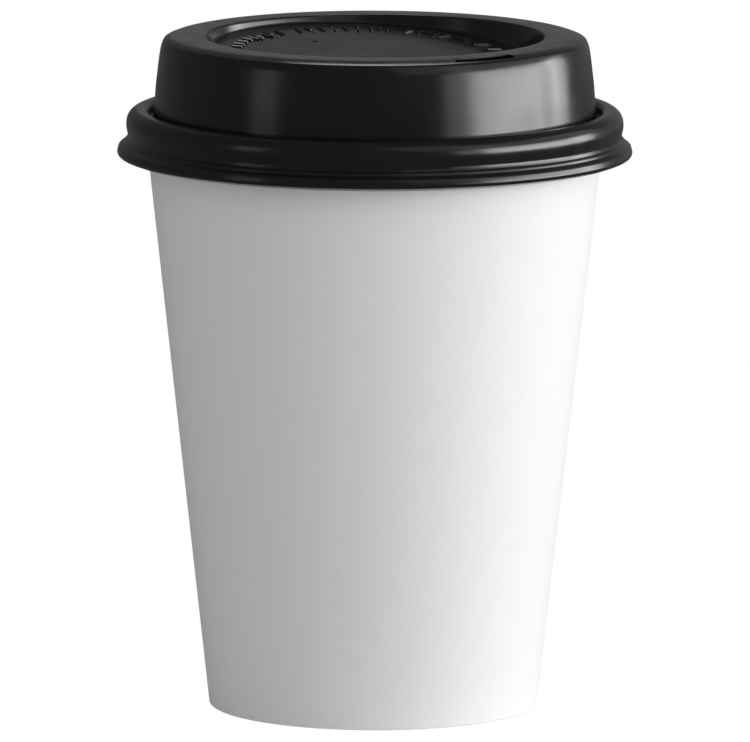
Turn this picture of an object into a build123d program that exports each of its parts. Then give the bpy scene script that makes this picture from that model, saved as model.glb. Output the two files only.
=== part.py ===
from build123d import *
import math
import os

# Paper coffee cup with a black sip lid, in millimetres, +Z up.
# The origin is the middle of the foot. The sip hole faces -Y and the cup's side seam +Y.

# Paper board of the wall and of the bottom, and the film of glue between them
wall_board = 0.35
bottom_board = 0.30
glue_gap = 0.05

# Cup: a plain cone with a rolled rim, and a hem that wraps the bottom's skirt
cup_height = 110.0
foot_radius = 30.2
mouth_radius = 42.0
curl_radius = 1.4
curl_turn_degrees = 300.0
hem_height = 6.0
fold_radius = 0.05
bottom_rise = 7.5
bottom_bend = 0.6
skirt_rise = 0.9

# Side seam: the board's two edges lap, and the upper one runs out in a ramp
lap_width = 7.0
lap_ramp = 4.0

# Lid: a plug inside the mouth, a crest over the curl, a pinch under it and a stepped skirt to the lip
lid_sheet = 0.38
plug_clearance = 0.10
plug_depth = 1.6
groove_width = 0.74
groove_round = 0.30
mouth_round = 0.90
crest_clearance = 0.12
crest_round = 2.20
skirt_clearance = 0.12
bulge_swell = 0.80
pinch_drop = 4.40
pinch_round = 1.40
step_drop = 5.32
step_flare = 0.53
step_height = 0.52
step_width = 0.13
step_round = 0.50
apron_drop = 6.96
apron_flare = 1.67
apron_round = 1.0
lip_drop = 7.95
lip_flare = 2.18
lip_round = 0.4
lip_return = 1.5
lip_hook = 0.35

# Dome of the lid: drops are measured down from its top, leans inward from the bend below
dome_height = 14.0
waist_drop = 6.5
waist_lean = 0.73
waist_round = 60.0
shoulder_drop = 2.0
shoulder_lean = 0.70
shoulder_round = 4.0
edge_drop = 0.82
edge_lean = 0.49
edge_round = 0.60
crown_width = 1.42
crown_round = 6.0

# Flat ring on the dome, round a sunk panel that slopes down to the sip hole
ring_width = 6.15
ring_round = 1.0
panel_shallow = 1.28
panel_tilt_degrees = 5.0
panel_draft_degrees = 12.0
panel_round = 1.2

# Holes of the lid
sip_length = 13.5
sip_width = 2.6
sip_inset = 0.6
vent_diameter = 1.0
vent_distance = 16.1
vent_turn_degrees = 11.6

# Length by which a cutting shape runs past what it cuts
overrun = 5.0

# The wall is a cone: its faces spread by this slope from the foot to the curl
curl_height = cup_height - curl_radius
wall_slope = (mouth_radius + wall_board - foot_radius) / curl_height
wall_stretch = math.hypot(1, wall_slope)


def wall_radius(height, depth=0):
    """Radius at a height of the cone that lies this deep under the wall's outer face."""
    return foot_radius + wall_slope * height - wall_stretch * depth


# Side wall: the board's middle line runs from the hem round the fold, up the wall and over the curl
wall_middle = wall_board / 2
hem_slot = bottom_board + 2 * glue_gap
hem_middle = wall_board + hem_slot + wall_middle
curl_centre = wall_radius(curl_height, wall_board - curl_radius)
curl_middle = curl_radius - wall_middle
curl_start = (curl_centre - curl_middle / wall_stretch, curl_height + curl_middle * wall_slope / wall_stretch)
lap_foot = wall_board
lap_top = curl_height - curl_radius
lap_edge = -lap_width / 2
lap_shoulder = lap_width / 2
lap_end = lap_shoulder + lap_ramp


def seam_point(radius, across):
    """Point of a level circle that lies this far to the side of the seam."""
    return (across, math.sqrt(radius**2 - across**2))


with BuildPart() as cup_sidewall:
    with BuildSketch(Plane.XZ):
        with BuildLine():
            FilletPolyline(
                (wall_radius(hem_height, hem_middle), hem_height),
                (wall_radius(wall_middle, hem_middle), wall_middle),
                (wall_radius(wall_middle, wall_middle), wall_middle),
                curl_start,
                radius=fold_radius + wall_middle,
            )
            JernArc(curl_start, (wall_slope, 1), curl_middle, -curl_turn_degrees)
        trace(line_width=wall_board)
    revolve(axis=Axis.Z)
    for height in (lap_foot, lap_top):
        inside = wall_radius(height, wall_middle)
        outside = wall_radius(height, -wall_board)
        with BuildSketch(Plane.XY.offset(height)):
            with BuildLine():
                Line(seam_point(inside, lap_edge), seam_point(outside, lap_edge))
                ThreePointArc(seam_point(outside, lap_edge), (0, outside), seam_point(outside, lap_shoulder))
                Line(seam_point(outside, lap_shoulder), seam_point(inside, lap_end))
                ThreePointArc(seam_point(inside, lap_end), (0, inside), seam_point(inside, lap_edge))
            make_face()
    loft(ruled=True)

cup_sidewall.part.label = "cup_sidewall"

# Bottom: a disc with its edge turned down into the hem
bottom_middle = bottom_board / 2
bottom_level = bottom_rise - bottom_middle
skirt_middle = wall_board + glue_gap + bottom_middle

with BuildPart() as cup_bottom:
    with BuildSketch(Plane.XZ):
        with BuildLine():
            FilletPolyline(
                (0, bottom_level),
                (wall_radius(bottom_level, skirt_middle), bottom_level),
                (wall_radius(skirt_rise, skirt_middle), skirt_rise),
                radius=bottom_bend,
            )
        trace(line_width=bottom_board)
    revolve(axis=Axis.Z)

cup_bottom.part.label = "cup_bottom"

# Lid: the sheet's middle line runs from the dome down the groove, over the curl and out to the lip
sheet_middle = lid_sheet / 2
lid_top = cup_height + dome_height
plug_middle = wall_board + plug_clearance + sheet_middle
groove_level = cup_height - plug_depth - sheet_middle
groove_outside = wall_radius(groove_level, plug_middle)
groove_inside = groove_outside - groove_width - lid_sheet
waist_radius = groove_inside - waist_lean
shoulder_radius = waist_radius - shoulder_lean
edge_radius = shoulder_radius - edge_lean
crown_radius = edge_radius - crown_width
crest_level = cup_height + crest_clearance + sheet_middle
pinch_radius = curl_centre + curl_radius + skirt_clearance + sheet_middle
step_radius = pinch_radius + step_flare
lip_radius = pinch_radius + lip_flare
lip_level = cup_height - lip_drop

# Sunk panel: a tapered plug with a sloping floor, once as the sheet's upper face and once as its lower
panel_radius = crown_radius - ring_width
panel_draft = math.radians(panel_draft_degrees)
panel_tilt = math.radians(panel_tilt_degrees)
panel_depth = panel_shallow + panel_radius * math.tan(panel_tilt)
panel_reach = panel_depth + panel_radius * math.tan(panel_tilt) + overrun
panel_floor = Plane(
    origin=(0, 0, lid_top - panel_depth),
    x_dir=(1, 0, 0),
    z_dir=(0, -math.sin(panel_tilt), math.cos(panel_tilt)),
)


def panel_plug(skin):
    """Plug that fills the sunk panel up to the ring, grown all round by a skin."""
    with BuildPart() as plug:
        with BuildSketch(Plane.XY.offset(lid_top)):
            Circle(panel_radius + skin / math.cos(panel_draft))
        extrude(amount=-panel_reach, taper=panel_draft_degrees)
        split(bisect_by=panel_floor.offset(-skin), keep=Keep.TOP)
        fillet(plug.faces().sort_by(Axis.Z)[0].edges(), radius=panel_round + skin)
    return plug.part


panel_outside = panel_plug(lid_sheet)
panel_inside = panel_plug(0)

# Sip hole: an arc along the ring's outer bend, between the centres of its round ends
sip_radius = crown_radius - sip_inset
sip_turn = math.degrees((sip_length - sip_width) / sip_radius)
sip_arc = CenterArc((0, 0), sip_radius, -90 - sip_turn / 2, sip_turn)

with BuildPart() as lid:
    with BuildSketch(Plane.XZ):
        with BuildLine():
            FilletPolyline(
                (0, lid_top - sheet_middle),
                (crown_radius, lid_top - sheet_middle),
                (edge_radius, lid_top - edge_drop),
                (shoulder_radius, lid_top - shoulder_drop),
                (waist_radius, lid_top - waist_drop),
                (groove_inside, groove_level),
                (groove_outside, groove_level),
                (wall_radius(crest_level, plug_middle), crest_level),
                (pinch_radius + bulge_swell, crest_level),
                (pinch_radius, cup_height - pinch_drop),
                (step_radius, cup_height - step_drop),
                (step_radius + step_width, cup_height - step_drop - step_height),
                (pinch_radius + apron_flare, cup_height - apron_drop),
                (lip_radius, lip_level),
                (lip_radius - lip_return, lip_level - lip_hook),
                radius=[
                    crown_round,
                    edge_round,
                    shoulder_round,
                    waist_round,
                    groove_round + sheet_middle,
                    groove_round + sheet_middle,
                    mouth_round,
                    crest_round,
                    pinch_round,
                    step_round,
                    step_round,
                    apron_round,
                    lip_round,
                ],
            )
        trace(line_width=lid_sheet)
    revolve(axis=Axis.Z)
    add(panel_outside)
    add(panel_inside, mode=Mode.SUBTRACT)
    level_faces = lid.faces().filter_by(Plane.XY).sort_by(Axis.Z)
    fillet(level_faces[-1].inner_wires().edges(), radius=ring_round)
    fillet(level_faces[-2].inner_wires().edges(), radius=ring_round - lid_sheet)
    with BuildSketch(Plane.XY.offset(lid_top)):
        SlotArc(sip_arc, sip_width)
    extrude(amount=-overrun, mode=Mode.SUBTRACT)
    with BuildSketch(Plane.XY.offset(lid_top)):
        with PolarLocations(vent_distance, 1, start_angle=90 + vent_turn_degrees):
            Circle(vent_diameter / 2)
    extrude(amount=-panel_reach, mode=Mode.SUBTRACT)

lid.part.label = "lid"

os.makedirs("parts", exist_ok=True)
export_step(cup_sidewall.part, "parts/cup_sidewall.step")
export_step(cup_bottom.part, "parts/cup_bottom.step")
export_step(lid.part, "parts/lid.step")
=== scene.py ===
import math

import bmesh
import bpy
from mathutils import Matrix, Vector


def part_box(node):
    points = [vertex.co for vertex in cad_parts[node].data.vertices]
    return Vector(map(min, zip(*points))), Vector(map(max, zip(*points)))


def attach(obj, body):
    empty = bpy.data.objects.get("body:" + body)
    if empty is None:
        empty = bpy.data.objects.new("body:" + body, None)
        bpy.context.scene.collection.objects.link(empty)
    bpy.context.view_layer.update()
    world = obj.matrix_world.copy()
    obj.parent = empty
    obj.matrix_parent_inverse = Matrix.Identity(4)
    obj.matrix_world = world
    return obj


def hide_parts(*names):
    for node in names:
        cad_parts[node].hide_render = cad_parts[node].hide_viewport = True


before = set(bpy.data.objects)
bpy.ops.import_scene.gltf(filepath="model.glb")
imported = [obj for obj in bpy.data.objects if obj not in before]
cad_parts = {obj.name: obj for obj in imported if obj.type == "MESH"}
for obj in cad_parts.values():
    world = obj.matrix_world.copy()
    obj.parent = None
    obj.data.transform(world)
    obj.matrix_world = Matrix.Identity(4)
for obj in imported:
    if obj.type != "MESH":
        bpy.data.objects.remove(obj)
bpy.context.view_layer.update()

bl_info = {
    "name": "Paper Coffee Cup",
    "version": (1, 0, 0),
    "blender": (4, 5, 0),
    "location": "View3D > Sidebar > Paper Cup",
    "description": "Builds a takeaway paper cup with a black sip lid around its solid model",
    "category": "Add Mesh",
}

MM = 0.001

WALL_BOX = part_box("cup_sidewall")
BOTTOM_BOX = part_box("cup_bottom")
LID_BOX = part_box("lid")

# Points closer together than this are one point
WELD = MM / 1000

# Widest turn that one step of a rounding takes, and the turn from which an edge is crisp
BEND_STEP = math.radians(9)
CRISP = math.radians(35)

# Steps round a punched hole
HOLE_STEPS = 24

# Steps of the wall's hem, its fold and its height, and the shares of the height at which the seam's
# upper layer begins and ends
HEM_STEPS = 3
FOLD_STEPS = 1
WALL_STEPS = 24
SEAM_SHARES = (0.002, 0.985)

# Steps of the bottom from its middle to its bend, and of its skirt
DISC_STEPS = 6
SKIRT_STEPS = 4

# Steps of each straight run of the lid's section, from the panel's middle to the lip's edge
LID_RUNS = (8, 1, 2, 1, 1, 2, 3, 2, 1, 1, 1, 1, 1, 1, 1, 1, 1, 2)

# Share of the lap's width up to which the columns beside the seam stand straight
SEAM_REACH = 4 / 3

# Sides and rings of a raised mark's stroke
STROKE_SIDES = 8
STROKE_RINGS = 9

# Raised marks, of one or two strokes each: where a stroke starts and ends, across the mark and up it,
# in shares of its height
MARKS = (
    [((0, -0.5), (0, 0.5))],
    [((-0.2, -0.5), (-0.2, 0.5)), ((0.2, -0.5), (0.2, 0.05))],
    [((0, -0.5), (0, 0.12)), ((0, 0.42), (0, 0.5))],
    [((-0.16, -0.5), (0.16, 0.5))],
    [((-0.2, -0.3), (-0.2, 0.3)), ((0.2, -0.5), (0.2, 0.5))],
    [((0, -0.42), (0, -0.3)), ((0, 0.3), (0, 0.42))],
)

# Finishes of the side wall, in the order of its material slots
OUTSIDE, LINING, CUT_EDGE = range(3)

# Amounts that the mottle adds to the roughness of the board and of the drawn sheet
BOARD_UNEVEN = 0.08
SHEET_UNEVEN = (-0.03, 0.05)

WHITE = (1, 1, 1, 1)

# Panel lights: degrees to the right of the camera, degrees over the horizon, radiance, and what
# alone shows the light, if not everything
PANEL_LIGHTS = {
    "key": ((52, 113), (-5, 20), 3.4, ""),
    "key_low": ((52, 98), (-5, 10), 2.4, "gloss"),
    "key_edge": ((37, 120), (-5, 20), 1.2, ""),
    "key_far": ((106, 121), (-5, 20), 2.7, "gloss"),
    "key_top": ((45, 135), (22, 48), 0.5, ""),
    "front": ((10, 60), (20, 62), 0.3, ""),
    "fill": ((-67, -52), (0, 20), 0.52, ""),
    "back": ((165, 195), (48, 62), 3.4, ""),
    "back_right": ((125, 186), (-5, 20), 0.09, "gloss"),
    "paper_fill": ((-120, 60), (15, 50), 0.5, "paper"),
    "paper_key": ((45, 120), (10, 40), 0.5, "paper"),
}


# Sizes and colours that a user would change
def length(name, description, millimetres):
    """A length of the object, kept in metres."""
    return bpy.props.FloatProperty(
        name=name, description=description, default=millimetres * MM, min=0, unit="LENGTH", precision=5
    )


def angle(name, description, degrees):
    """An angle of the object, kept in radians."""
    return bpy.props.FloatProperty(
        name=name, description=description, default=math.radians(degrees), unit="ROTATION"
    )


def colour(name, description, rgb):
    """A colour of one of the finishes."""
    return bpy.props.FloatVectorProperty(
        name=name, description=description, default=rgb, size=3, subtype="COLOR", min=0, max=1
    )


def share(name, description, value):
    """A share between nothing and all."""
    return bpy.props.FloatProperty(
        name=name, description=description, default=value, min=0, max=1, subtype="FACTOR"
    )


def amount(name, description, value):
    """A plain amount, such as the strength of a light."""
    return bpy.props.FloatProperty(name=name, description=description, default=value, min=0)


def count(name, description, number):
    """A number of steps or copies."""
    return bpy.props.IntProperty(name=name, description=description, default=number, min=1)


class CupSettings(bpy.types.PropertyGroup):
    """Sizes and colours of the paper cup."""

    board: length("Wall board", "Thickness of the side wall's board", 0.35)
    bottom_board: length("Bottom board", "Thickness of the bottom's board", 0.30)
    glue: length("Glue", "Film of glue between two layers of board", 0.05)
    foot_radius: length("Foot radius", "Radius of the wall's outer face where it stands", 30.2)
    mouth_radius: length("Mouth radius", "Radius of the wall's inner face at the rolled rim", 42.0)
    curl_radius: length("Curl radius", "Half the thickness of the rolled rim", 1.4)
    curl_turn: angle("Curl turn", "How far round the rim's edge is rolled", 300)
    hem: length("Hem", "Height to which the wall's foot is turned up inside", 6.0)
    fold: length("Fold", "Inner radius of the fold at the foot", 0.05)
    bottom_bend: length("Bottom bend", "Radius at which the bottom's skirt turns down", 0.6)
    lap: length("Lap", "Width of the side seam's lap", 7.0)
    ramp: length("Ramp", "Width over which the seam's upper layer runs out", 2.667)
    turns: count("Turn steps", "Steps round the cup", 192)
    white: colour("White", "Coated face of the board", (0.86, 0.86, 0.855))
    fibre: colour("Fibre", "Tone of the board's fibres", (0.85, 0.85, 0.842))
    edge: colour("Cut edge", "Raw edge of the board", (0.74, 0.72, 0.68))
    outside_roughness: share("Outside roughness", "Roughness of the board's outer face", 0.55)
    lining_roughness: share("Lining roughness", "Roughness of the lining that holds the drink", 0.3)


class LidSettings(bpy.types.PropertyGroup):
    """Sizes and colours of the lid."""

    sheet: length("Sheet", "Thickness of the drawn sheet", 0.38)
    plug_clearance: length("Plug clearance", "Room between the plug and the cup's mouth", 0.10)
    plug_depth: length("Plug depth", "Depth of the groove under the rim's top", 1.6)
    groove_width: length("Groove width", "Width of the groove's floor", 0.74)
    groove_round: length("Groove rounding", "Rounding of the groove's floor", 0.30)
    mouth_round: length("Mouth rounding", "Rounding where the plug turns out over the rim", 0.90)
    crest_clearance: length("Crest clearance", "Room between the rim's top and the sheet", 0.12)
    crest_flare: length("Crest flare", "How far the crest's corner stands out past the pinch", 0.10)
    crest_round: length("Crest rounding", "Rounding of the crest over the rim", 2.2)
    skirt_clearance: length("Skirt clearance", "Room between the rim and the pinch", 0.12)
    bulge: length("Bulge", "How far the widest part over the rim stands out past the pinch", 0.36)
    bulge_drop: length("Bulge drop", "Depth of the widest part under the rim's top", 2.52)
    bulge_round: length("Bulge rounding", "Rounding of the widest part", 3.0)
    pinch_drop: length("Pinch drop", "Depth of the pinch under the rim's top", 4.36)
    pinch_round: length("Pinch rounding", "Rounding of the pinch", 1.60)
    collar_drop: length("Collar drop", "Depth of the collar's foot under the rim's top", 5.12)
    collar_flare: length("Collar flare", "How far the collar's foot stands out past the pinch", 0.22)
    ledge_drop: length("Ledge drop", "Depth of the ledge under the rim's top", 5.38)
    ledge_flare: length("Ledge flare", "How far the ledge stands out past the pinch", 0.66)
    band_drop: length("Band drop", "Depth of the upright band's foot under the rim's top", 5.86)
    band_flare: length("Band flare", "How far the band's foot stands out past the pinch", 0.79)
    shelf_drop: length("Shelf drop", "Depth of the shelf over the lip under the rim's top", 6.40)
    shelf_flare: length("Shelf flare", "How far the shelf stands out past the pinch", 1.76)
    step_round: length("Step rounding", "Rounding of the steps' edges", 0.28)
    lip_drop: length("Lip drop", "Depth of the lip under the rim's top", 7.66)
    lip_flare: length("Lip flare", "How far the lip stands out past the pinch", 2.10)
    lip_round: length("Lip rounding", "Rounding of the lip", 0.55)
    lip_return: length("Lip return", "How far the lip's edge turns back in", 1.80)
    lip_hook: length("Lip hook", "How far the lip's edge drops as it turns in", 0.63)
    waist_drop: length("Waist drop", "Depth of the dome's slight waist under its top", 6.5)
    waist_lean: length("Waist lean", "Lean of the dome from its foot to the waist", 0.73)
    waist_round: length("Waist rounding", "Rounding of the waist", 60.0)
    shoulder_drop: length("Shoulder drop", "Depth of the dome's shoulder under its top", 2.0)
    shoulder_lean: length("Shoulder lean", "Lean of the dome from the waist to the shoulder", 0.70)
    shoulder_round: length("Shoulder rounding", "Rounding of the shoulder", 4.0)
    edge_drop: length("Edge drop", "Depth of the dome's upper edge under its top", 0.82)
    edge_lean: length("Edge lean", "Lean of the dome from the shoulder to the edge", 0.49)
    edge_round: length("Edge rounding", "Rounding of the dome's upper edge", 0.60)
    crown_width: length("Crown width", "Width of the slope from the edge up to the flat ring", 1.42)
    crown_round: length("Crown rounding", "Rounding between the slope and the flat ring", 6.0)
    ring_width: length("Ring width", "Width of the flat ring round the panel", 6.15)
    ring_round: length("Ring rounding", "Rounding of the ring's inner edge", 0.5)
    panel_shallow: length("Panel shallow end", "Depth of the panel at its shallow end", 1.28)
    panel_tilt: angle("Panel tilt", "Slope of the panel down to the sip hole", 5)
    panel_draft: angle("Panel draft", "Lean of the panel's side", 13)
    panel_round: length("Panel rounding", "Rounding at the panel's foot", 0.5)
    sip_length: length("Sip length", "Length of the sip hole round the ring", 15.0)
    sip_shift: angle("Sip shift", "Turn of the sip hole's middle from the panel's lowest side", -0.9)
    sip_width: length("Sip width", "Width of the sip hole", 2.6)
    sip_inset: length("Sip inset", "How far the sip hole's middle lies inside the crown", 0.6)
    vent: length("Vent", "Diameter of the vent hole", 1.0)
    vent_distance: length("Vent distance", "Distance of the vent from the axis", 16.1)
    vent_turn: angle("Vent turn", "Turn of the vent from the side seam", 11.6)
    cut_reach: length("Cut reach", "Length by which a punch runs past the sheet", 5.0)
    turns: count("Turn steps", "Steps round the lid", 240)
    black: colour("Black", "Drawn plastic sheet", (0.006, 0.006, 0.0065))
    roughness: share("Roughness", "Roughness of the drawn sheet", 0.2)
    ior: amount("IOR", "Refraction of the drawn sheet, which sets how much it mirrors", 1.59)


class MarkSettings(bpy.types.PropertyGroup):
    """Raised marks that run round the lid's panel."""

    ring_radius: length("Ring radius", "Radius of the ring of marks", 24.7)
    tall: length("Height", "Length of a mark across the ring", 4.0)
    stroke: length("Stroke", "Width of a mark's stroke", 0.78)
    relief: length("Relief", "Height of a mark over the panel", 0.4)
    number: count("Number", "Places round the ring", 66)
    group: count("Group", "Places from one gap in the ring to the next", 9)
    seed: bpy.props.IntProperty(name="Seed", description="Order of the marks round the ring", default=7)


class StageSettings(bpy.types.PropertyGroup):
    """Floor, lights and camera."""

    camera_azimuth: angle("Camera azimuth", "Turn of the camera from the sip hole's side", -32)
    camera_elevation: angle("Camera elevation", "Height of the camera over the horizon", 8.70)
    camera_roll: angle("Camera roll", "Lean of the camera", 0.177)
    camera_distance: length("Camera distance", "Distance from the camera to the cup", 2600)
    aim_height: length("Aim height", "Height at which the cup's scale is taken", 60)
    aim_up: length("Aim up", "Shift of the camera upwards in its own frame", 1.76)
    aim_right: length("Aim right", "Shift of the camera to the right in its own frame", 0.17)
    picture_width: length("Picture width", "Width of the view where the cup stands", 138.0)
    floor: colour("Floor", "Pale floor as the cup sees it", (0.9, 0.9, 0.9))
    floor_glow: amount("Floor glow", "Light that the floor gives of itself", 0.12)
    floor_sheen: amount("Floor in gloss", "Brightness of the floor as the lid's gloss shows it", 0.11)
    surroundings: amount("Surroundings", "Brightness of the dim room round the lights", 0.10)
    floor_reach: length("Floor reach", "Half the width of the floor", 12000)
    light_distance: length("Light distance", "Distance from the cup to the lights", 1500)
    light_height: length("Light height", "Height at which the lights are aimed", 80)


# Outlines of bent sheet, as straight runs with rounded corners
def corner_turn(before, corner, after):
    """Directions into and out of a corner, and the turn between them."""
    come = (Vector(corner) - Vector(before)).normalized()
    go = (Vector(after) - Vector(corner)).normalized()
    return come, go, math.atan2(come.x * go.y - come.y * go.x, come.dot(go))


def bend_steps(corners):
    """Steps that each corner's rounding takes."""
    turns = [corner_turn(*three)[2] for three in zip(corners, corners[1:], corners[2:])]
    return [max(1, math.ceil(abs(turn) / BEND_STEP)) for turn in turns]


def even(steps):
    """Stops at even shares of a run."""
    return [step / steps for step in range(steps + 1)]


def rounded_path(corners, radii, arc_steps, stops):
    """Points and normals along the middle of a sheet, left of which is its upper face."""
    bends = []
    for before, corner, after, radius in zip(corners, corners[1:], corners[2:], radii):
        come, go, turn = corner_turn(before, corner, after)
        reach = radius * math.tan(abs(turn) / 2)
        side = Vector((-come.y, come.x)) * math.copysign(radius, turn)
        bends.append((Vector(corner) - come * reach + side, -side, turn, Vector(corner) + go * reach))
    path = []
    start = Vector(corners[0])
    for index in range(len(corners) - 1):
        last = index == len(corners) - 2
        finish = Vector(corners[-1]) if last else bends[index][0] + bends[index][1]
        along = (finish - start).normalized()
        normal = Vector((-along.y, along.x))
        path += [(start.lerp(finish, stop), normal) for stop in stops[index] if stop > 0 or index == 0]
        if not last:
            centre, arm, turn, start = bends[index]
            for step in range(1, arc_steps[index]):
                spin = Matrix.Rotation(turn * step / arc_steps[index], 2)
                path.append((centre + spin @ arm, spin @ normal))
            path.append((start, Matrix.Rotation(turn, 2) @ normal))
    return path


def turned_arc(path, radius, turn):
    """Carries a path on round an arc."""
    point, normal = path[-1]
    arm = normal * -math.copysign(radius, turn)
    steps = math.ceil(abs(turn) / BEND_STEP)
    spins = [Matrix.Rotation(turn * step / steps, 2) for step in range(1, steps + 1)]
    return path + [(point - arm + spin @ arm, spin @ normal) for spin in spins]


def sheet_section(path, thickness):
    """Closed section of a sheet: its upper face out, then its lower face back."""
    half = thickness / 2
    upper = [point + normal * half for point, normal in path]
    lower = [point - normal * half for point, normal in path]
    return upper + lower[::-1]


def piece_of(name, shape):
    """Object of an open mesh, with its faces turned outwards."""
    bmesh.ops.recalc_face_normals(shape, faces=shape.faces)
    mesh = bpy.data.meshes.new(name)
    shape.to_mesh(mesh)
    shape.free()
    return new_piece(name, mesh)


def turned_mesh(name, columns, finish_of):
    """Mesh of closed columns of points that stand side by side round the cup's axis."""
    shape = bmesh.new()
    rings = [[shape.verts.new(point) for point in column] for column in columns]
    size = len(rings[0])
    for turn, ring in enumerate(rings):
        beside = rings[(turn + 1) % len(rings)]
        for step in range(size):
            after = (step + 1) % size
            face = shape.faces.new((ring[step], beside[step], beside[after], ring[after]))
            face.material_index = finish_of(turn, step)
    bmesh.ops.remove_doubles(shape, verts=shape.verts, dist=WELD)
    return piece_of(name, shape)


def spot_at(turn, distance):
    """Point of a level plane at this turn and distance from its middle."""
    return Vector((math.cos(turn), math.sin(turn))) * distance


def prism(name, outline, low, high):
    """Upright block of an outline, used as a punch."""
    shape = bmesh.new()
    rings = [[shape.verts.new((*point, level)) for point in outline] for level in (low, high)]
    for ring in rings:
        shape.faces.new(ring)
    for step in range(len(outline)):
        after = (step + 1) % len(outline)
        shape.faces.new((rings[0][step], rings[0][after], rings[1][after], rings[1][step]))
    return piece_of(name, shape)


def new_piece(name, mesh):
    """Object of a mesh, linked to the scene."""
    piece = bpy.data.objects.new(name, mesh)
    bpy.context.scene.collection.objects.link(piece)
    return piece


def baked(piece):
    """Turns the piece's modifiers into plain mesh."""
    graph = bpy.context.evaluated_depsgraph_get()
    mesh = bpy.data.meshes.new_from_object(piece.evaluated_get(graph))
    mesh.name = piece.name
    piece.modifiers.clear()
    piece.data = mesh


def shade(piece):
    """Smooth shading with crisp edges."""
    piece.data.shade_smooth()
    piece.data.set_sharp_from_angle(angle=CRISP)


def finish_piece(piece, body, nodes=()):
    """Gives the piece its place in the frame."""
    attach(piece, body)
    if nodes:
        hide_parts(*nodes)


# Cone of the cup's wall
def cup_slope(cup):
    """Spread of the wall for each length of height, and the stretch that it gives the board."""
    curl_height = WALL_BOX[1].z - cup.curl_radius
    slope = (cup.mouth_radius + cup.board - cup.foot_radius) / curl_height
    return slope, math.hypot(1, slope)


def cup_wall_radius(cup, height, depth=0):
    """Radius at a height of the cone that lies this deep under the wall's outer face."""
    slope, stretch = cup_slope(cup)
    return cup.foot_radius + slope * height - stretch * depth


def curl_centre(cup):
    """Centre of the rolled rim's section."""
    height = WALL_BOX[1].z - cup.curl_radius
    return Vector((cup_wall_radius(cup, height, cup.board - cup.curl_radius), height))


# Node trees
class NodeTree:
    """Places nodes and joins their sockets."""

    def __init__(self, tree):
        self.tree = tree

    def add(self, kind, settings=None, **inputs):
        """New node, with its settings and what its named inputs hold or are fed by."""
        node = self.tree.nodes.new(kind)
        for key, value in (settings or {}).items():
            setattr(node, key, value)
        for key, value in inputs.items():
            self.feed(node, key.replace("_", " "), value)
        return node

    def feed(self, node, key, value):
        """Sets one input, named or numbered, or joins it to another node's output."""
        socket = node.inputs[key]
        if isinstance(value, bpy.types.NodeSocket):
            self.tree.links.new(value, socket)
        else:
            socket.default_value = value

    def maths(self, operation, *values):
        """Number worked out from other numbers."""
        node = self.tree.nodes.new("ShaderNodeMath")
        node.operation = operation
        for index, value in enumerate(values):
            self.feed(node, index, value)
        return node.outputs["Value"]


def new_material(name):
    """Material of one shader, with its tree, the shader and the output."""
    material = bpy.data.materials.new(name)
    material.use_nodes = True
    material.node_tree.nodes.clear()
    tree = NodeTree(material.node_tree)
    output = tree.add("ShaderNodeOutputMaterial")
    shader = tree.add("ShaderNodeBsdfPrincipled")
    tree.feed(output, "Surface", shader.outputs["BSDF"])
    return material, tree, shader, output


def sheet_grain():
    """Shared effect: the mottle, fine grain and uneven gloss of board and drawn sheet."""
    group = bpy.data.node_groups.get("sheet_grain")
    if group:
        return group
    group = bpy.data.node_groups.new("sheet_grain", "ShaderNodeTree")
    face = group.interface
    face.new_socket("Place", in_out="INPUT", socket_type="NodeSocketVector")
    for name in ("Mottle Scale", "Grain Scale", "Low Roughness", "High Roughness"):
        face.new_socket(name, in_out="INPUT", socket_type="NodeSocketFloat")
    for name in ("Mottle", "Grain", "Roughness"):
        face.new_socket(name, in_out="OUTPUT", socket_type="NodeSocketFloat")
    tree = NodeTree(group)
    given = tree.add("NodeGroupInput").outputs
    mottle = tree.add("ShaderNodeTexNoise", Vector=given["Place"], Scale=given["Mottle Scale"], Detail=4.0)
    grain = tree.add("ShaderNodeTexNoise", Vector=given["Place"], Scale=given["Grain Scale"], Detail=2.0)
    spread = tree.add("ShaderNodeMapRange", Value=mottle.outputs["Fac"], From_Min=0.3, From_Max=0.7)
    rough = tree.add("ShaderNodeMapRange", Value=mottle.outputs["Fac"], From_Min=0.3, From_Max=0.7)
    tree.feed(rough, "To Min", given["Low Roughness"])
    tree.feed(rough, "To Max", given["High Roughness"])
    kept = tree.add("NodeGroupOutput")
    tree.feed(kept, "Mottle", spread.outputs["Result"])
    tree.feed(kept, "Grain", grain.outputs["Fac"])
    tree.feed(kept, "Roughness", rough.outputs["Result"])
    return group


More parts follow.
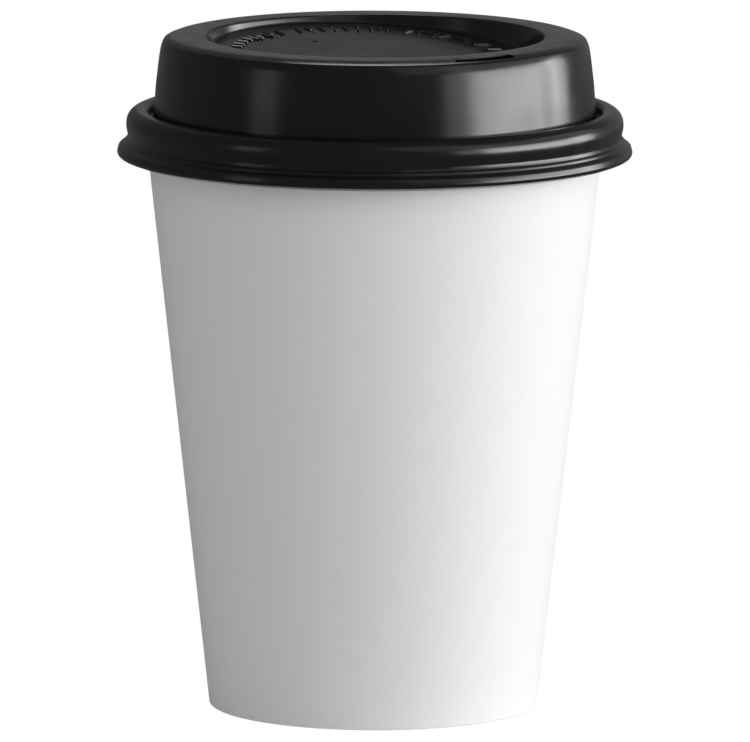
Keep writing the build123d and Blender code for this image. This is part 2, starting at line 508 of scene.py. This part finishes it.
def grained_material(name, tones, roughness, scales, bump, ior=None):
    """Material of a grained sheet.

    It takes one tone or two, the lowest and the highest roughness, the scales of the mottle and of
    the grain, and the strength of the grain's bump with its depth in millimetres.
    """
    if name in bpy.data.materials:
        return bpy.data.materials[name]
    material, tree, shader, _ = new_material(name)
    place = tree.add("ShaderNodeTexCoord").outputs["Object"]
    grain = tree.add("ShaderNodeGroup", {"node_tree": sheet_grain()}, Place=place)
    tree.feed(grain, "Mottle Scale", scales[0])
    tree.feed(grain, "Grain Scale", scales[1])
    tree.feed(grain, "Low Roughness", roughness[0])
    tree.feed(grain, "High Roughness", roughness[1])
    shader.inputs["Base Color"].default_value = (*tones[0], 1)
    if len(tones) > 1:
        tone = tree.add("ShaderNodeMix", {"data_type": "RGBA"})
        tree.feed(tone, "Factor", grain.outputs["Mottle"])
        # Inputs 6 and 7 and output 2 are the mix's colours
        tree.feed(tone, 6, (*tones[0], 1))
        tree.feed(tone, 7, (*tones[1], 1))
        tree.feed(shader, "Base Color", tone.outputs[2])
    tree.feed(shader, "Roughness", grain.outputs["Roughness"])
    lift = tree.add("ShaderNodeBump", Strength=bump[0], Distance=bump[1] * MM)
    tree.feed(lift, "Height", grain.outputs["Grain"])
    tree.feed(shader, "Normal", lift.outputs["Normal"])
    if ior:
        shader.inputs["IOR"].default_value = ior
    return material


def board_outside(cup):
    """Coated outer face of the paper board."""
    return grained_material(
        "board_outside",
        tones=(cup.white, cup.fibre),
        roughness=(cup.outside_roughness, cup.outside_roughness + BOARD_UNEVEN),
        scales=(240.0, 1900.0),
        bump=(0.25, 0.02),
    )


def board_lining(cup):
    """Film on the inside of the cup and on its bottom."""
    return grained_material(
        "board_lining",
        tones=(cup.white, cup.fibre),
        roughness=(cup.lining_roughness, cup.lining_roughness + BOARD_UNEVEN),
        scales=(240.0, 1400.0),
        bump=(0.2, 0.02),
    )


def board_cut_edge(cup):
    """Raw edge of the paper board."""
    return grained_material(
        "board_cut_edge",
        tones=(cup.edge, cup.fibre),
        roughness=(0.85, 0.95),
        scales=(900.0, 3500.0),
        bump=(0.6, 0.05),
    )


def black_sheet(lid):
    """Thin black drawn plastic, glossy with a faint unevenness."""
    return grained_material(
        "black_sheet",
        tones=(lid.black,),
        roughness=[lid.roughness + uneven for uneven in SHEET_UNEVEN],
        scales=(150.0, 420.0),
        bump=(0.12, 0.02),
        ior=lid.ior,
    )


class PAPERCUP_OT_side_wall(bpy.types.Operator):
    """Builds the side wall: a cone of board with a lapped seam, a hem at the foot and a rolled rim"""

    bl_idname = "paper_cup.side_wall"
    bl_label = "Side wall"

    def execute(self, context):
        cup = context.scene.paper_cup
        half = cup.board / 2
        hem_middle = cup.board + cup.bottom_board + 2 * cup.glue + half
        slope, stretch = cup_slope(cup)
        centre = curl_centre(cup)
        arm = cup.curl_radius - half
        corners = [
            (cup_wall_radius(cup, cup.hem, hem_middle), cup.hem),
            (cup_wall_radius(cup, half, hem_middle), half),
            (cup_wall_radius(cup, half, half), half),
            (centre.x - arm / stretch, centre.y + arm * slope / stretch),
        ]
        wall_stops = sorted([*even(WALL_STEPS), *SEAM_SHARES])
        stops = (even(HEM_STEPS), even(FOLD_STEPS), wall_stops)
        path = rounded_path(corners, [cup.fold + half] * 2, bend_steps(corners), stops)
        wall_top = len(path) - 2
        wall_foot = len(path) - len(wall_stops) + 1
        path = turned_arc(path, arm, -cup.curl_turn)
        lined = len(path)
        columns = [self.column(cup, path, (wall_foot, wall_top), turn) for turn in self.turns(cup)]
        lap_edge = self.turns(cup).index(self.seam_turn(cup, -cup.lap / 2 - cup.glue))

        def finish_of(turn, step):
            if step in (lined - 1, 2 * lined - 1):
                return CUT_EDGE
            if step < lined:
                return LINING
            return CUT_EDGE if turn == lap_edge else OUTSIDE

        piece = turned_mesh("side_wall", columns, finish_of)
        for finish in (board_outside, board_lining, board_cut_edge):
            piece.data.materials.append(finish(cup))
        shade(piece)
        finish_piece(piece, "cup", ["cup_sidewall"])
        return {"FINISHED"}

    def seam_turn(self, cup, across):
        """Turn from the seam's middle at which a column stands this far to its side."""
        return math.asin(across / self.seam_radius(cup))

    def seam_radius(self, cup):
        """Radius in the middle of the wall's height, where the seam's columns are laid out."""
        return (cup.foot_radius + cup.mouth_radius) / 2

    def turns(self, cup):
        """Turns of the wall's columns, closer together over the seam."""
        edge = cup.lap / 2
        before = [-edge - 3 * cup.ramp / 2, -edge - cup.ramp / 2, -edge - cup.glue]
        over = [-edge, -edge / 2, 0, edge / 2, edge]
        after = [edge + cup.glue, edge + cup.ramp / 2, edge + cup.ramp, edge + 2 * cup.ramp]
        seam = [self.seam_turn(cup, shift) for shift in before + over + after]
        room = math.tau / cup.turns / 2
        wide = [math.tau * step / cup.turns - math.pi for step in range(cup.turns)]
        return sorted(seam + [turn for turn in wide if turn < seam[0] - room or turn > seam[-1] + room])

    def column(self, cup, path, wall_rows, turn):
        """One column of the wall, whose seam stands out by a layer and keeps its width upwards."""
        full = self.seam_turn(cup, cup.lap * SEAM_REACH)
        straight = min(1, max(0, 2 - abs(turn) / full))
        side = math.sin(turn)
        edge = cup.lap / 2
        across = side * self.seam_radius(cup)
        run_out = min(1, max(0, (edge + cup.ramp - across) / cup.ramp))
        outer = run_out if across > -edge - cup.glue / 2 else 0
        inner = run_out if across > edge + cup.glue / 2 else 0
        section = []
        for lift, way, rows in ((inner, 1, range(len(path))), (outer, -1, range(len(path) - 1, -1, -1))):
            for row in rows:
                point, normal = path[row]
                on_wall = wall_rows[0] <= row < wall_rows[1]
                push = cup.board * lift if on_wall and abs(turn) < 2 * full else 0
                section.append(point + normal * (way * cup.board / 2 - push))
        column = []
        for point in section:
            shift = side * (self.seam_radius(cup) * straight + point.x * (1 - straight))
            depth = math.sqrt(max(0, point.x**2 - shift**2))
            column.append((shift, math.copysign(depth, math.cos(turn)), point.y))
        return column


def turned_sheet_tree():
    """Node tree that turns a closed section round the cup's axis."""
    group = bpy.data.node_groups.new("turned_sheet", "GeometryNodeTree")
    face = group.interface
    face.new_socket("Section", in_out="INPUT", socket_type="NodeSocketGeometry")
    face.new_socket("Turning Radius", in_out="INPUT", socket_type="NodeSocketFloat")
    face.new_socket("Turn Steps", in_out="INPUT", socket_type="NodeSocketInt")
    face.new_socket("Finish", in_out="INPUT", socket_type="NodeSocketMaterial")
    face.new_socket("Mesh", in_out="OUTPUT", socket_type="NodeSocketGeometry")
    tree = NodeTree(group)
    given = tree.add("NodeGroupInput").outputs
    section = tree.add("GeometryNodeMeshToCurve", Mesh=given["Section"]).outputs["Curve"]
    circle = tree.add("GeometryNodeCurvePrimitiveCircle", Resolution=given["Turn Steps"])
    tree.feed(circle, "Radius", given["Turning Radius"])
    sweep = tree.add("GeometryNodeCurveToMesh", Curve=circle.outputs["Curve"], Profile_Curve=section)
    merged = tree.add("GeometryNodeMergeByDistance", Geometry=sweep.outputs["Mesh"], Distance=WELD)
    real = tree.add("GeometryNodeRealizeInstances", Geometry=merged.outputs["Geometry"])
    dressed = tree.add("GeometryNodeSetMaterial", Geometry=real.outputs["Geometry"])
    tree.feed(dressed, "Material", given["Finish"])
    tree.feed(tree.add("NodeGroupOutput"), "Mesh", dressed.outputs["Geometry"])
    return group


def add_tree(piece, group, values):
    """Puts a node tree on a piece, sets its inputs by their identifiers, and bakes it."""
    modifier = piece.modifiers.new(group.name, "NODES")
    modifier.node_group = group
    for item in group.interface.items_tree:
        if item.item_type == "SOCKET" and item.in_out == "INPUT" and item.name in values:
            modifier[item.identifier] = values[item.name]
    baked(piece)


class PAPERCUP_OT_bottom(bpy.types.Operator):
    """Builds the bottom: a disc of board with its edge turned down into the hem"""

    bl_idname = "paper_cup.bottom"
    bl_label = "Bottom"

    def execute(self, context):
        cup = context.scene.paper_cup
        half = cup.bottom_board / 2
        level = BOTTOM_BOX[1].z - half
        foot = BOTTOM_BOX[0].z
        depth = cup.board + cup.glue + half
        corners = [
            (0, level),
            (cup_wall_radius(cup, level, depth), level),
            (cup_wall_radius(cup, foot, depth), foot),
        ]
        stops = (even(DISC_STEPS), even(SKIRT_STEPS))
        path = rounded_path(corners, [cup.bottom_bend], bend_steps(corners), stops)
        section = sheet_section(path, cup.bottom_board)
        mesh = bpy.data.meshes.new("bottom_disc")
        points = [(point.x - cup.foot_radius, -point.y, 0) for point in section]
        edges = [(step, (step + 1) % len(points)) for step in range(len(points))]
        mesh.from_pydata(points, edges, [])
        piece = new_piece("bottom_disc", mesh)
        values = {
            "Turning Radius": cup.foot_radius,
            "Turn Steps": cup.turns,
            "Finish": board_lining(cup),
        }
        add_tree(piece, turned_sheet_tree(), values)
        self.close(piece)
        shade(piece)
        finish_piece(piece, "cup", ["cup_bottom"])
        return {"FINISHED"}

    def close(self, piece):
        """Drops faces of no size and turns the rest outwards."""
        shape = bmesh.new()
        shape.from_mesh(piece.data)
        bmesh.ops.dissolve_degenerate(shape, dist=WELD / 10, edges=shape.edges)
        bmesh.ops.recalc_face_normals(shape, faces=shape.faces)
        shape.to_mesh(piece.data)
        shape.free()


def plug_radius(cup, lid, height):
    """Radius at a height of the plug's middle line, just inside the cup's wall."""
    return cup_wall_radius(cup, height, cup.board + lid.plug_clearance + lid.sheet / 2)


def groove_level(lid):
    """Height of the middle of the groove's floor."""
    return WALL_BOX[1].z - lid.plug_depth - lid.sheet / 2


def dome_radii(cup, lid):
    """Radii of the dome's foot, waist, shoulder, upper edge and crown."""
    radii = [plug_radius(cup, lid, groove_level(lid)) - lid.groove_width - lid.sheet]
    for lean in (lid.waist_lean, lid.shoulder_lean, lid.edge_lean, lid.crown_width):
        radii.append(radii[-1] - lean)
    return radii


def panel_radius(cup, lid):
    """Radius of the ring's inner edge."""
    return dome_radii(cup, lid)[-1] - lid.ring_width


def panel_level(cup, lid):
    """Height of the panel's upper face in its middle."""
    return LID_BOX[1].z - lid.panel_shallow - panel_radius(cup, lid) * math.tan(lid.panel_tilt)


def lid_corners(cup, lid, around):
    """Corners of the lid's middle line, in the half plane that stands at this turn."""
    half = lid.sheet / 2
    rim = WALL_BOX[1].z
    top = LID_BOX[1].z
    dome_foot, waist, shoulder, edge, crown = dome_radii(cup, lid)
    crest = rim + lid.crest_clearance + half
    pinch = curl_centre(cup).x + cup.curl_radius + lid.skirt_clearance + half
    lip = pinch + lid.lip_flare
    side = panel_radius(cup, lid) + half / math.cos(lid.panel_draft)
    lean = math.tan(lid.panel_draft)
    floor = panel_level(cup, lid) - half / math.cos(lid.panel_tilt)
    rise = math.sin(around) * math.tan(lid.panel_tilt)
    foot = (side - (top - floor) * lean) / (1 - rise * lean)
    return [
        (0, floor),
        (foot, floor + rise * foot),
        (side - half * lean, top - half),
        (crown, top - half),
        (edge, top - lid.edge_drop),
        (shoulder, top - lid.shoulder_drop),
        (waist, top - lid.waist_drop),
        (dome_foot, groove_level(lid)),
        (plug_radius(cup, lid, groove_level(lid)), groove_level(lid)),
        (plug_radius(cup, lid, crest), crest),
        (pinch + lid.crest_flare, crest),
        (pinch + lid.bulge, rim - lid.bulge_drop),
        (pinch, rim - lid.pinch_drop),
        (pinch + lid.collar_flare, rim - lid.collar_drop),
        (pinch + lid.ledge_flare, rim - lid.ledge_drop),
        (pinch + lid.band_flare, rim - lid.band_drop),
        (pinch + lid.shelf_flare, rim - lid.shelf_drop),
        (lip, rim - lid.lip_drop),
        (lip - lid.lip_return, rim - lid.lip_drop - lid.lip_hook),
    ]


def lid_roundings(lid):
    """Radii of the corners' roundings, on the lid's middle line."""
    half = lid.sheet / 2
    return [
        lid.panel_round + half,
        lid.ring_round - half,
        lid.crown_round,
        lid.edge_round,
        lid.shoulder_round,
        lid.waist_round,
        *[lid.groove_round + half] * 2,
        lid.mouth_round,
        lid.crest_round,
        lid.bulge_round,
        lid.pinch_round,
        *[lid.step_round] * 4,
        lid.lip_round,
    ]


class PAPERCUP_OT_lid(bpy.types.Operator):
    """Builds the lid: one drawn sheet with plug, crest, stepped skirt, lip, dome and sloping panel"""

    bl_idname = "paper_cup.lid"
    bl_label = "Lid"

    def execute(self, context):
        cup = context.scene.paper_cup
        lid = context.scene.paper_cup_lid
        steps = bend_steps(lid_corners(cup, lid, 0))
        stops = [even(run) for run in LID_RUNS]
        columns = []
        for turn in range(lid.turns):
            around = math.tau * turn / lid.turns
            path = rounded_path(lid_corners(cup, lid, around), lid_roundings(lid), steps, stops)
            section = sheet_section(path, lid.sheet)
            columns.append([(p.x * math.cos(around), p.x * math.sin(around), p.y) for p in section])
        piece = turned_mesh("lid_shell", columns, lambda turn, step: 0)
        piece.data.materials.append(black_sheet(lid))
        self.punch(cup, lid, piece)
        shade(piece)
        finish_piece(piece, "lid", ["lid"])
        return {"FINISHED"}

    def sip_outline(self, cup, lid):
        """Outline of the sip hole: an arc of the ring with round ends."""
        half = lid.sip_width / 2
        middle = dome_radii(cup, lid)[-1] - lid.sip_inset
        facing = lid.sip_shift - math.pi / 2
        turn = (lid.sip_length - lid.sip_width) / middle
        end_steps = HOLE_STEPS // 2
        outline = []
        for way in (1, -1):
            for stop in even(HOLE_STEPS):
                outline.append(spot_at(facing + way * turn * (stop - 0.5), middle + way * half))
            end = facing + way * turn / 2
            for step in range(1, end_steps):
                swing = end + way * math.pi * step / end_steps + (0 if way > 0 else math.pi)
                outline.append(spot_at(end, middle) + spot_at(swing, half))
        return outline

    def vent_outline(self, lid):
        """Outline of the vent hole."""
        centre = spot_at(math.pi / 2 + lid.vent_turn, lid.vent_distance)
        return [centre + spot_at(math.tau * stop, lid.vent / 2) for stop in even(HOLE_STEPS)[:-1]]

    def punch(self, cup, lid, piece):
        """Cuts the sip hole and the vent."""
        top = LID_BOX[1].z
        reach = lid.cut_reach
        punches = [
            prism("sip_punch", self.sip_outline(cup, lid), top - reach, top + reach),
            prism("vent_punch", self.vent_outline(lid), top - 2 * reach, top + reach),
        ]
        for block in punches:
            cut = piece.modifiers.new(block.name, "BOOLEAN")
            cut.operation = "DIFFERENCE"
            cut.solver = "EXACT"
            cut.object = block
        baked(piece)
        for block in punches:
            bpy.data.objects.remove(block)


def raised_marks_tree():
    """Node tree that sets raised marks in a ring on the lid's sloping panel."""
    group = bpy.data.node_groups.new("raised_marks", "GeometryNodeTree")
    face = group.interface
    face.new_socket("Base", in_out="INPUT", socket_type="NodeSocketGeometry")
    for name in ("Ring Radius", "Mark Height", "Stroke", "Relief", "Panel Level", "Panel Slope"):
        face.new_socket(name, in_out="INPUT", socket_type="NodeSocketFloat")
    for name in ("Number", "Group", "Seed"):
        face.new_socket(name, in_out="INPUT", socket_type="NodeSocketInt")
    face.new_socket("Finish", in_out="INPUT", socket_type="NodeSocketMaterial")
    face.new_socket("Mesh", in_out="OUTPUT", socket_type="NodeSocketGeometry")
    tree = NodeTree(group)
    given = tree.add("NodeGroupInput").outputs

    def stroke(ends):
        """Line of a mark between two points, each given as shares of its height."""
        line = tree.add("GeometryNodeCurvePrimitiveLine")
        for key, (across, up) in zip(("Start", "End"), ends):
            point = tree.add("ShaderNodeCombineXYZ")
            tree.feed(point, "X", tree.maths("MULTIPLY", given["Mark Height"], across))
            tree.feed(point, "Y", tree.maths("MULTIPLY", given["Mark Height"], up))
            tree.feed(line, key, point.outputs["Vector"])
        return line.outputs["Curve"]

    radius = tree.maths("DIVIDE", given["Stroke"], 2.0)
    profile = tree.add("GeometryNodeCurvePrimitiveCircle", Resolution=STROKE_SIDES, Radius=1.0)
    picks = tree.add("GeometryNodeJoinGeometry")
    for lines in reversed(MARKS):
        joined = tree.add("GeometryNodeJoinGeometry")
        for ends in lines:
            tree.feed(joined, "Geometry", stroke(ends))
        drawn = tree.add("GeometryNodeResampleCurve", Curve=joined.outputs["Geometry"])
        tree.feed(drawn, "Count", STROKE_RINGS)
        run = tree.add("GeometryNodeSplineLength").outputs["Length"]
        spot = tree.add("GeometryNodeSplineParameter").outputs["Length"]
        near = tree.maths("MINIMUM", spot, tree.maths("SUBTRACT", run, spot))
        inward = tree.maths("MINIMUM", tree.maths("DIVIDE", near, radius), 1.0)
        short = tree.maths("SUBTRACT", 1.0, inward)
        swell = tree.maths("SQRT", tree.maths("SUBTRACT", 1.0, tree.maths("MULTIPLY", short, short)))
        body = tree.add("GeometryNodeCurveToMesh", Curve=drawn.outputs["Curve"])
        tree.feed(body, "Profile Curve", profile.outputs["Curve"])
        tree.feed(body, "Scale", tree.maths("MULTIPLY", swell, radius))
        closed = tree.add("GeometryNodeMergeByDistance", Geometry=body.outputs["Mesh"], Distance=WELD)
        single = tree.add("GeometryNodeGeometryToInstance", Geometry=closed.outputs["Geometry"])
        tree.feed(picks, "Geometry", single.outputs["Instances"])
    circle = tree.add("GeometryNodeMeshCircle", Vertices=given["Number"], Radius=given["Ring Radius"])
    order = tree.add("GeometryNodeInputIndex").outputs["Index"]
    place = tree.maths("MODULO", order, given["Group"])
    # The first place of each group stays empty
    below = {"data_type": "FLOAT", "operation": "LESS_THAN"}
    first = tree.add("FunctionNodeCompare", below, A=place, B=0.5)
    spots = tree.add("GeometryNodeDeleteGeometry", Geometry=circle.outputs["Mesh"])
    tree.feed(spots, "Selection", first.outputs["Result"])
    position = tree.add("GeometryNodeInputPosition").outputs["Position"]
    inwards = tree.add("ShaderNodeVectorMath", {"operation": "SCALE"}, Scale=-1.0)
    tree.feed(inwards, 0, position)
    facing = tree.add("FunctionNodeAlignRotationToVector", {"axis": "Y"})
    tree.feed(facing, "Vector", inwards.outputs["Vector"])
    choice = tree.add("FunctionNodeRandomValue", {"data_type": "INT"}, Seed=given["Seed"])
    # Inputs 4 and 5 are the lowest and the highest whole number, and output 2 is the pick
    tree.feed(choice, 4, 0)
    tree.feed(choice, 5, len(MARKS) - 1)
    flat = tree.add("ShaderNodeCombineXYZ", X=1.0, Y=1.0)
    tree.feed(flat, "Z", tree.maths("DIVIDE", given["Relief"], radius))
    marks = tree.add("GeometryNodeInstanceOnPoints", Points=spots.outputs["Geometry"])
    tree.feed(marks, "Instance", picks.outputs["Geometry"])
    tree.feed(marks, "Pick Instance", True)
    tree.feed(marks, "Instance Index", choice.outputs[2])
    tree.feed(marks, "Rotation", facing.outputs["Rotation"])
    tree.feed(marks, "Scale", flat.outputs["Vector"])
    real = tree.add("GeometryNodeRealizeInstances", Geometry=marks.outputs["Instances"])
    along = tree.add("ShaderNodeSeparateXYZ", Vector=position).outputs["Y"]
    rise = tree.maths("MULTIPLY_ADD", along, given["Panel Slope"], given["Panel Level"])
    lifted = tree.add("GeometryNodeSetPosition", Geometry=real.outputs["Geometry"])
    tree.feed(lifted, "Offset", tree.add("ShaderNodeCombineXYZ", Z=rise).outputs["Vector"])
    dressed = tree.add("GeometryNodeSetMaterial", Geometry=lifted.outputs["Geometry"])
    tree.feed(dressed, "Material", given["Finish"])
    tree.feed(tree.add("NodeGroupOutput"), "Mesh", dressed.outputs["Geometry"])
    return group


class PAPERCUP_OT_marks(bpy.types.Operator):
    """Builds the ring of raised marks on the lid's panel"""

    bl_idname = "paper_cup.marks"
    bl_label = "Raised marks"

    def execute(self, context):
        lid = context.scene.paper_cup_lid
        marks = context.scene.paper_cup_marks
        values = {
            "Ring Radius": marks.ring_radius,
            "Mark Height": marks.tall,
            "Stroke": marks.stroke,
            "Relief": marks.relief,
            "Number": marks.number,
            "Group": marks.group,
            "Seed": marks.seed,
            "Panel Level": panel_level(context.scene.paper_cup, lid),
            "Panel Slope": math.tan(lid.panel_tilt),
            "Finish": black_sheet(lid),
        }
        piece = new_piece("panel_marks", bpy.data.meshes.new("panel_marks"))
        add_tree(piece, raised_marks_tree(), values)
        shade(piece)
        finish_piece(piece, "lid")
        return {"FINISHED"}


# Stage
def direction(azimuth, elevation):
    """Unit vector from the cup towards a viewer."""
    level = math.cos(elevation)
    return Vector((math.sin(azimuth) * level, -math.cos(azimuth) * level, math.sin(elevation)))


def place_camera(scene, stage):
    """Camera at the photograph's angle and scale."""
    toward = direction(stage.camera_azimuth, stage.camera_elevation)
    turn = toward.to_track_quat("Z", "Y").to_matrix() @ Matrix.Rotation(stage.camera_roll, 3, "Z")
    data = bpy.data.cameras.new("camera")
    data.sensor_width = 36
    data.lens = data.sensor_width * stage.camera_distance / stage.picture_width
    data.clip_end = 100
    camera = bpy.data.objects.new("camera", data)
    aim = Vector((0, 0, stage.aim_height)) + turn @ Vector((stage.aim_right, stage.aim_up, 0))
    camera.matrix_world = Matrix.Translation(aim + toward * stage.camera_distance) @ turn.to_4x4()
    scene.collection.objects.link(camera)
    scene.camera = camera


def add_panel_light(name, turns, heights, radiance, only, stage):
    """Soft panel light that fills these degrees to the right of the camera and over the horizon.

    It reaches everything, or only the paper, or only what mirrors it as gloss.
    """
    distance = stage.light_distance
    turn = math.radians(sum(turns) / 2)
    height = math.radians(sum(heights) / 2)
    data = bpy.data.lights.new(name, "AREA")
    data.shape = "RECTANGLE"
    data.size = 2 * distance * math.cos(height) * math.tan(math.radians(turns[1] - turns[0]) / 2)
    data.size_y = 2 * distance * math.tan(math.radians(heights[1] - heights[0]) / 2)
    data.energy = radiance * data.size * data.size_y * math.pi
    toward = direction(stage.camera_azimuth + turn, height)
    light = bpy.data.objects.new(name, data)
    light.visible_camera = False
    light.visible_glossy = only != "paper"
    light.visible_diffuse = only != "gloss"
    facing = toward.to_track_quat("Z", "Y").to_matrix().to_4x4()
    aim = Vector((0, 0, stage.light_height))
    light.matrix_world = Matrix.Translation(aim + toward * distance) @ facing
    bpy.context.scene.collection.objects.link(light)


def white_floor(stage):
    """Floor that the camera sees as plain white, the lid's gloss as grey and the paper as pale."""
    reach = stage.floor_reach
    mesh = bpy.data.meshes.new("floor")
    corners = [(-reach, -reach, 0), (reach, -reach, 0), (reach, reach, 0), (-reach, reach, 0)]
    mesh.from_pydata(corners, [], [(0, 1, 2, 3)])
    floor = new_piece("floor", mesh)
    material, tree, shader, output = new_material("pale_floor")
    looks = {
        "Base Color": (*stage.floor, 1),
        "Roughness": 0.9,
        "Specular IOR Level": 0,
        "Emission Color": WHITE,
        "Emission Strength": stage.floor_glow,
    }
    for key, value in looks.items():
        tree.feed(shader, key, value)
    ray = tree.add("ShaderNodeLightPath").outputs
    shown = shader.outputs["BSDF"]
    for kind, strength in (("Is Glossy Ray", stage.floor_sheen), ("Is Camera Ray", 1.0)):
        plain = tree.add("ShaderNodeEmission", Color=WHITE, Strength=strength)
        blend = tree.add("ShaderNodeMixShader", Fac=ray[kind])
        tree.feed(blend, 1, shown)
        tree.feed(blend, 2, plain.outputs["Emission"])
        shown = blend.outputs["Shader"]
    tree.feed(output, "Surface", shown)
    mesh.materials.append(material)


def studio_world(stage):
    """Surroundings: white behind the cup for the camera, dim for everything else."""
    world = bpy.data.worlds.new("studio")
    world.use_nodes = True
    tree = NodeTree(world.node_tree)
    seen = tree.add("ShaderNodeLightPath").outputs["Is Camera Ray"]
    glow = world.node_tree.nodes["Background"]
    tree.feed(glow, "Color", WHITE)
    dim = stage.surroundings
    tree.feed(glow, "Strength", tree.maths("MULTIPLY_ADD", seen, 1 - dim, dim))
    bpy.context.scene.world = world


class PAPERCUP_OT_stage(bpy.types.Operator):
    """Sets the pale floor, the soft lights and the camera"""

    bl_idname = "paper_cup.stage"
    bl_label = "Stage"

    def execute(self, context):
        stage = context.scene.paper_cup_stage
        place_camera(context.scene, stage)
        white_floor(stage)
        studio_world(stage)
        for name, (turns, heights, radiance, only) in PANEL_LIGHTS.items():
            add_panel_light(name, turns, heights, radiance, only, stage)
        context.scene.view_settings.view_transform = "Standard"
        return {"FINISHED"}


class PAPERCUP_PT_sidebar(bpy.types.Panel):
    """Lists the steps that build the cup"""

    bl_idname = "PAPERCUP_PT_sidebar"
    bl_label = "Paper Cup"
    bl_space_type = "VIEW_3D"
    bl_region_type = "UI"
    bl_category = "Paper Cup"

    def draw(self, context):
        for step in STEPS:
            self.layout.operator(step.bl_idname)


STEPS = (
    PAPERCUP_OT_side_wall,
    PAPERCUP_OT_bottom,
    PAPERCUP_OT_lid,
    PAPERCUP_OT_marks,
    PAPERCUP_OT_stage,
)
GROUPS = {
    "paper_cup": CupSettings,
    "paper_cup_lid": LidSettings,
    "paper_cup_marks": MarkSettings,
    "paper_cup_stage": StageSettings,
}
CLASSES = (*GROUPS.values(), *STEPS, PAPERCUP_PT_sidebar)


def register():
    for cls in CLASSES:
        bpy.utils.register_class(cls)
    for name, group in GROUPS.items():
        setattr(bpy.types.Scene, name, bpy.props.PointerProperty(type=group))


def unregister():
    for name in GROUPS:
        delattr(bpy.types.Scene, name)
    for cls in reversed(CLASSES):
        bpy.utils.unregister_class(cls)


def main():
    """Builds every piece and the stage."""
    register()
    bpy.ops.paper_cup.side_wall()
    bpy.ops.paper_cup.bottom()
    bpy.ops.paper_cup.lid()
    bpy.ops.paper_cup.marks()
    bpy.ops.paper_cup.stage()


if __name__ == "__main__":
    main()
